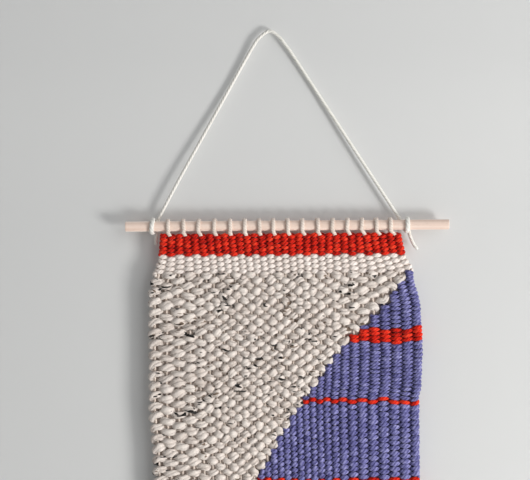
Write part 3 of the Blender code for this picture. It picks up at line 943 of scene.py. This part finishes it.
bands = [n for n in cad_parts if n.startswith(("blue_field_", "red_stripe_"))]
bands.sort(key=lambda n: -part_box(n)[1][2])
tops = [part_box(n)[1][2] for n in bands] + [CLOTH_END]
for number in range(len(bands)):                # a two-pick line is thinner than its solid
    if tops[number] - tops[number + 1] < THIN_LINE:
        middle = (tops[number] + tops[number + 1]) / 2
        tops[number], tops[number + 1] = middle + PACKED_PITCH, middle - PACKED_PITCH
for number, node_name in enumerate(bands):
    is_red = node_name.startswith("red")
    pitch = PACKED_PITCH if is_red else BLUE_PITCH.get(node_name, SLACK_PITCH)
    picks = picks_in(tops[number], tops[number + 1], pitch)
    laid = weave(node_name, tops[number], tops[number + 1], picks, laid, blue_width, FINE,
                 RED_WOOL if is_red else BLUE_WOOL, FIRST_BAND_SEED + number, FINE_YARN)

# %% [markdown]
# ## The heart of the cloth
#
# Between the front and the back beads the yarns are pressed into a thin felted layer. It is
# the sheet of this cloth: a narrow web that follows the outline. Its colour is painted shade:
# a dark tone of each area's colour that stands in for the shadow in the holes between the
# beads, and it stops the eye from looking through them.

# %% The cloth's core
CORE_THICKNESS = 0.0006
CORE_COLUMNS, CORE_ROWS = 48, 120
CORE_INSET = 0.002              # the core ends this far inside the first and last rows


def core_sheet():
    mesh = bpy.data.meshes.new("cloth_core")
    places, painted_shades = [], []
    for z in np.linspace(CLOTH_TOP - CORE_INSET, CLOTH_END + CORE_INSET, CORE_ROWS + 1):
        for k in np.linspace(0.0, WARPS - 1, CORE_COLUMNS + 1):
            places.append((float(warp_x(k, z)), 0.0, z))
            painted_shades.append(painted_core_shade(k, z))
    width = CORE_COLUMNS + 1
    faces = [(r * width + c, (r + 1) * width + c, (r + 1) * width + c + 1, r * width + c + 1)
             for r in range(CORE_ROWS) for c in range(CORE_COLUMNS)]
    mesh.from_pydata(places, [], faces)
    layer = mesh.color_attributes.new("painted_core_shade", "FLOAT_COLOR", "POINT")
    layer.data.foreach_set("color", np.array(painted_shades, np.float32).ravel())
    piece = placed("cloth_core", mesh)
    thick = piece.modifiers.new("thickness", "SOLIDIFY")
    thick.thickness = CORE_THICKNESS
    thick.offset = 0.0
    return baked("cloth_core", piece)


def painted_core_shade(k, z):
    """Painted shade: a dark tone of the yarn that covers this place, as the holes' shadow."""
    if z > HEADING_END:
        return linear(96, 10, 6)
    if z > CREAM_END:
        return linear(190, 176, 168)
    if k < first_blue_warp(z) - 0.5:
        return linear(150, 136, 127)
    for name in bands:
        low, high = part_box(name)
        if low[2] <= z <= high[2] and name.startswith("red"):
            return linear(110, 12, 8)
    return linear(32, 28, 62)


def painted_core_material():
    made, tree, shader = new_finish("cloth_core_painted_shade", 1.0)
    # The base colour is the core's painted shade, under a random felt tone.
    colour = node(tree, "ShaderNodeAttribute", attribute_name="painted_core_shade").outputs["Color"]
    felt = noise(tree, object_place(tree), 900.0, 3.0)
    shade = ranged(tree, felt, To_Min=0.55, To_Max=1.3)
    plug(tree, scaled(tree, colour, shade), shader.inputs["Base Color"])
    add_relief(tree, shader, felt, 0.6, 0.0003)
    return made


core = core_sheet()
core.data.materials.append(painted_core_material())

# %% [markdown]
# ## The fringe
#
# Below the last row the warps are drawn together two by two, and each pair is tied in one
# knot, which stops the weft from sliding off. The ends hang free below the knots.

# %% Knotted warp ends
KNOT_DROP = 0.0080              # from the cloth's lower edge to the middle of a knot
KNOT_SIZE = 0.0026
KNOT_POINTS, POINTS_PER_TURN = 22, 10
KNOT_ROUND, KNOT_TALL = 0.95, 0.9    # the coil's radius and half height, in knot sizes
KNOT_FAT = 1.05                 # the coiled string is a little thicker than the ends
END_SWAY = 0.0012
END_VARIES = 0.003              # some ends are cut shorter by up to this


def knot_route(x, z, turn):
    """Two turns of a string round its neighbour, as a small coil."""
    route = []
    for k in range(KNOT_POINTS + 1):
        angle = turn + 2 * math.pi * k / POINTS_PER_TURN
        route.append((x + KNOT_SIZE * math.cos(angle) * KNOT_ROUND,
                      KNOT_SIZE * math.sin(angle) * KNOT_ROUND,
                      z + KNOT_SIZE * KNOT_TALL * (1 - 2 * k / KNOT_POINTS)))
    return route


def warp_end(index):
    """Two warps, the coil that ties them, and two tails: three strands."""
    rng = np.random.default_rng(300 + index)
    node_name = f"warp_end_{index + 1:02d}"
    middle = solid_middle(node_name)
    knot_z = CLOTH_END - KNOT_DROP
    strands = []
    for side, k in ((-1, 2 * index), (1, 2 * index + 1)):
        top_x = float(warp_x(k, CLOTH_END))
        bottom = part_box(node_name)[0][2] + END_VARIES * rng.uniform(0, 1) + 0.0005
        sway = END_SWAY * rng.uniform(-1, 1)
        route = smooth_route([
            (top_x, 0.0, CLOTH_END + 0.004), (top_x, 0.0, CLOTH_END - 0.0005),
            (middle + side * 0.0012, side * 0.0006, knot_z + 0.0026),
            (middle - side * 0.0009, side * 0.0007, knot_z - 0.0028),
            (middle + side * 0.0016 + sway, -0.0004, knot_z - 0.012),
            (middle + side * 0.0022 + 1.6 * sway, 0.0005 * side, (knot_z + bottom) / 2),
            (middle + side * 0.0020 + sway * rng.uniform(-1, 2), 0.0004, bottom)], 0.0011)
        strands.append(plain_strand(route, WARP_RADIUS, row=3.0 * index + (side > 0),
                                    tone=rng.uniform(-1, 1)))
    coil = smooth_route(knot_route(middle, knot_z, rng.uniform(0, 6)), 0.0008)
    strands.append(plain_strand(coil, WARP_RADIUS * KNOT_FAT, row=3.0 * index + 2,
                                tone=rng.uniform(-1, 1)))
    return strands


fringe = spin("warp_end_strings", [s for k in range(WARPS // 2) for s in warp_end(k)], WARP_COTTON,
              rows=3 * WARPS // 2, **WARP_SPIN)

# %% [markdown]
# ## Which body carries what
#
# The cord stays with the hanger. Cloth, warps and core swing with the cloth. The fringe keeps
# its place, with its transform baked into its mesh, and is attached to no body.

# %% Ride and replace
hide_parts("hanging_cord", "left_hitch", "right_hitch")
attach(cord, "hanger")

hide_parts(*[f"warp_loop_{k + 1:02d}" for k in range(WARPS // 2)])
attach(warps, "cloth")

for node_name, piece in wefts.items():
    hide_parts(node_name)
    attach(piece, "cloth")

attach(core, "cloth")
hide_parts(*[f"warp_end_{k + 1:02d}" for k in range(WARPS // 2)])
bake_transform(fringe)

# %% [markdown]
# ## Floor, wall and light
#
# A pale wall stands just behind the cloth and catches its shadow, as a hanging's wall does. It
# shows only its front, so the other views can look at the back of the cloth. Daylight comes
# from the right, a little from below, and a broad soft light fills the rest.

# %% The stage
WALL_Y = max(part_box("left_hitch")[1][1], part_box("right_hitch")[1][1]) + 0.0010
HOOK_GAP = 0.0045               # the hook holds the cord close to the wall
LEAN_TOP, LEAN_BOTTOM = -0.02, DOWEL_Z + 0.015
FRINGE_ROOM = 0.045             # how far the wall steps back behind the fringe
ROOM_TOP, ROOM_BOTTOM = -0.47, -0.64
WALL_TOP, WALL_HALF_WIDTH = 0.75, 0.95
FLOOR_Z, FLOOR_RADIUS, FLOOR_SIDES = -1.45, 2.9, 96


def staged(name, points, faces, finish):
    mesh = bpy.data.meshes.new(name)
    mesh.from_pydata(points, [], faces)
    mesh.shade_smooth()
    mesh.materials.append(finish)
    made = placed(name, mesh)
    return made


def see_through_behind(finish):
    """Let the eye through a surface's back."""
    tree = finish.node_tree
    behind = node(tree, "ShaderNodeNewGeometry").outputs["Backfacing"]
    mix = node(tree, "ShaderNodeMixShader",
               {0: behind, 1: tree.nodes["Principled BSDF"].outputs[0],
                2: node(tree, "ShaderNodeBsdfTransparent").outputs[0]})
    plug(tree, mix.outputs[0], tree.nodes["Material Output"].inputs["Surface"])
    return finish


def painted(name, colour):
    made, _, shader = new_finish(name, 0.9)
    shader.inputs["Base Color"].default_value = colour
    return made


def bend(y, step, top, bottom):
    """A smooth step in the wall's depth, as points from its top to its bottom."""
    return [(y + step * float(fade(0, 1, t)), top + (bottom - top) * t)
            for t in np.linspace(0.0, 1.0, 25)]


# The wall leans in towards the hook, stands upright behind the cloth and steps back below it,
# so that the fringe has room to swing backwards.
profile = [(HOOK_GAP, WALL_TOP), *bend(HOOK_GAP, WALL_Y - HOOK_GAP, LEAN_TOP, LEAN_BOTTOM),
           *bend(WALL_Y, FRINGE_ROOM, ROOM_TOP, ROOM_BOTTOM), (WALL_Y + FRINGE_ROOM, FLOOR_Z)]
wall = staged("wall", [(side * WALL_HALF_WIDTH, y, z) for y, z in profile for side in (-1, 1)],
              [(2 * k, 2 * k + 2, 2 * k + 3, 2 * k + 1) for k in range(len(profile) - 1)],
              see_through_behind(painted("wall_paint", linear(210, 211, 211))))
wall.visible_shadow = False
rim = [(FLOOR_RADIUS * math.cos(turn), FLOOR_RADIUS * math.sin(turn), FLOOR_Z)
       for turn in np.linspace(0.0, 2 * math.pi, FLOOR_SIDES, endpoint=False)]
staged("floor", rim, [tuple(range(FLOOR_SIDES))], painted("floor_paint", linear(214, 214, 212)))


# %% The lights
AIM = Vector((0.0, 0.0, -0.25))


def soft_light(name, place, size, watts, colour=(1.0, 1.0, 1.0)):
    data = bpy.data.lights.new(name, "AREA")
    data.shape = "SQUARE"
    data.size = size
    data.energy = watts
    data.color = colour
    lamp = placed(name, data, place)
    lamp.rotation_euler = (AIM - Vector(place)).to_track_quat("-Z", "Y").to_euler()


soft_light("window", (1.54, -1.09, -0.90), 0.50, 26.0, (1.0, 0.985, 0.96))
soft_light("window_glow", (2.1, -2.1, 0.60), 2.8, 42.5, (1.0, 0.99, 0.975))
soft_light("back_fill", (-0.3, 1.8, 0.3), 1.6, 12.0)

world = bpy.data.worlds.new("studio")
world.use_nodes = True
world.node_tree.nodes["Background"].inputs["Color"].default_value = (0.86, 0.87, 0.88, 1.0)
world.node_tree.nodes["Background"].inputs["Strength"].default_value = 0.345
bpy.context.scene.world = world
bpy.context.scene.view_settings.view_transform = "Standard"
